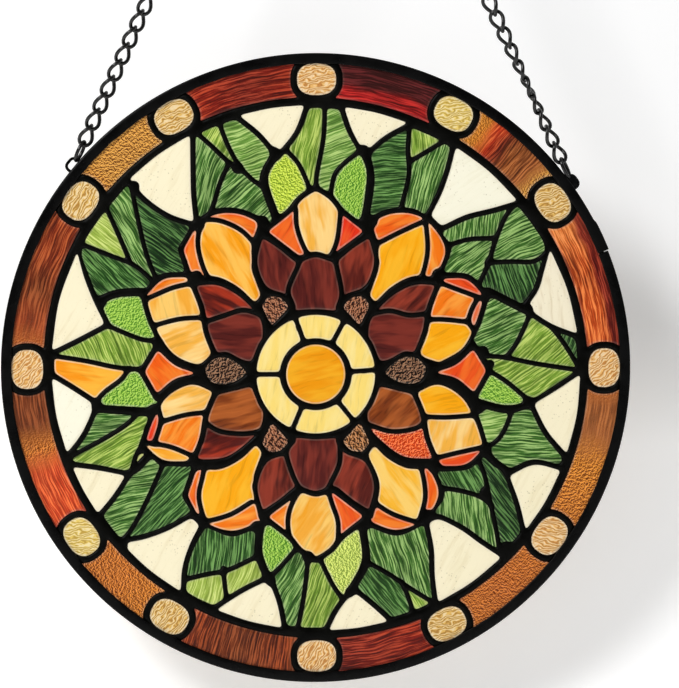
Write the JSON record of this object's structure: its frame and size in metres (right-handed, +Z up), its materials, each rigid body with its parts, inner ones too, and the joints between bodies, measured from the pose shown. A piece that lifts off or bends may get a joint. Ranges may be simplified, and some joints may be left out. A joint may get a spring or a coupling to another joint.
{
  "type": "stained glass suncatcher",
  "caption": "Round leaded stained glass panel with a flower and leaves inside a jewelled border, held in a channel rim and hung on two curb chains that meet at a ring.",
  "frame": {"origin": "where the hanging ring bears on its hook: the inside of the ring's top", "axes": "+Z up along the hang, -Y out of the panel's front face, +X to the right seen from the front"},
  "size_m": [0.3, 0.0094, 0.516],
  "materials": {
    "black_metal": "satin black",
    "dark_lead": "black patina on solder",
    "brown_glass": "streaky brown and red opalescent sheet, hammered in places",
    "amber_glass": "streaky amber opalescent sheet",
    "pale_yellow_glass": "pale yellow opalescent sheet",
    "hammered_brown_glass": "hammered brown sheet with a coppery glint",
    "dark_red_glass": "dark red streaky sheet",
    "gold_glass": "yellow and orange streaky opalescent sheet",
    "peach_glass": "peach and orange streaky opalescent sheet",
    "orange_glass": "orange streaky opalescent sheet",
    "cream_glass": "cream opalescent sheet with a seedy surface",
    "green_glass": "green streaky opalescent sheet"
  },
  "bodies": {
    "root": {"background_1": "cream_glass", "background_10": "cream_glass", "background_11": "cream_glass", "background_12": "cream_glass", "background_13": "cream_glass", "background_14": "cream_glass", "background_2": "cream_glass", "background_3": "cream_glass", "background_4": "cream_glass", "background_5": "cream_glass", "background_6": "cream_glass", "background_7": "cream_glass", "background_8": "cream_glass", "background_9": "cream_glass", "border_glass": "brown_glass", "chain_left": "black_metal", "chain_right": "black_metal", "dark_pair_1": "dark_red_glass", "dark_pair_2": "dark_red_glass", "dark_pair_3": "dark_red_glass", "dark_pair_4": "dark_red_glass", "dark_trio_1": "dark_red_glass", "dark_trio_2": "dark_red_glass", "eye": "amber_glass", "eye_ring": "pale_yellow_glass", "flame_petal_1": "peach_glass", "flame_petal_2": "peach_glass", "gold_petal_1": "gold_glass", "gold_petal_2": "gold_glass", "gold_petal_3": "gold_glass", "gold_petal_4": "gold_glass", "hanging_ring": "black_metal", "lead_net": "dark_lead", "leaf_1": "green_glass", "leaf_10": "green_glass", "leaf_11": "green_glass", "leaf_12": "green_glass", "leaf_13": "green_glass", "leaf_14": "green_glass", "leaf_2": "green_glass", "leaf_3": "green_glass", "leaf_4": "green_glass", "leaf_5": "green_glass", "leaf_6": "green_glass", "leaf_7": "green_glass", "leaf_8": "green_glass", "leaf_9": "green_glass", "rim": "black_metal", "seed_1": "hammered_brown_glass", "seed_2": "hammered_brown_glass", "seed_3": "hammered_brown_glass", "seed_4": "hammered_brown_glass", "side_flame_1": "orange_glass", "side_flame_2": "orange_glass", "side_petal_1": "orange_glass", "side_petal_2": "orange_glass", "side_petal_3": "orange_glass", "side_petal_4": "orange_glass", "side_seed_1": "hammered_brown_glass", "side_seed_2": "hammered_brown_glass"}
  },
  "joints": []
}
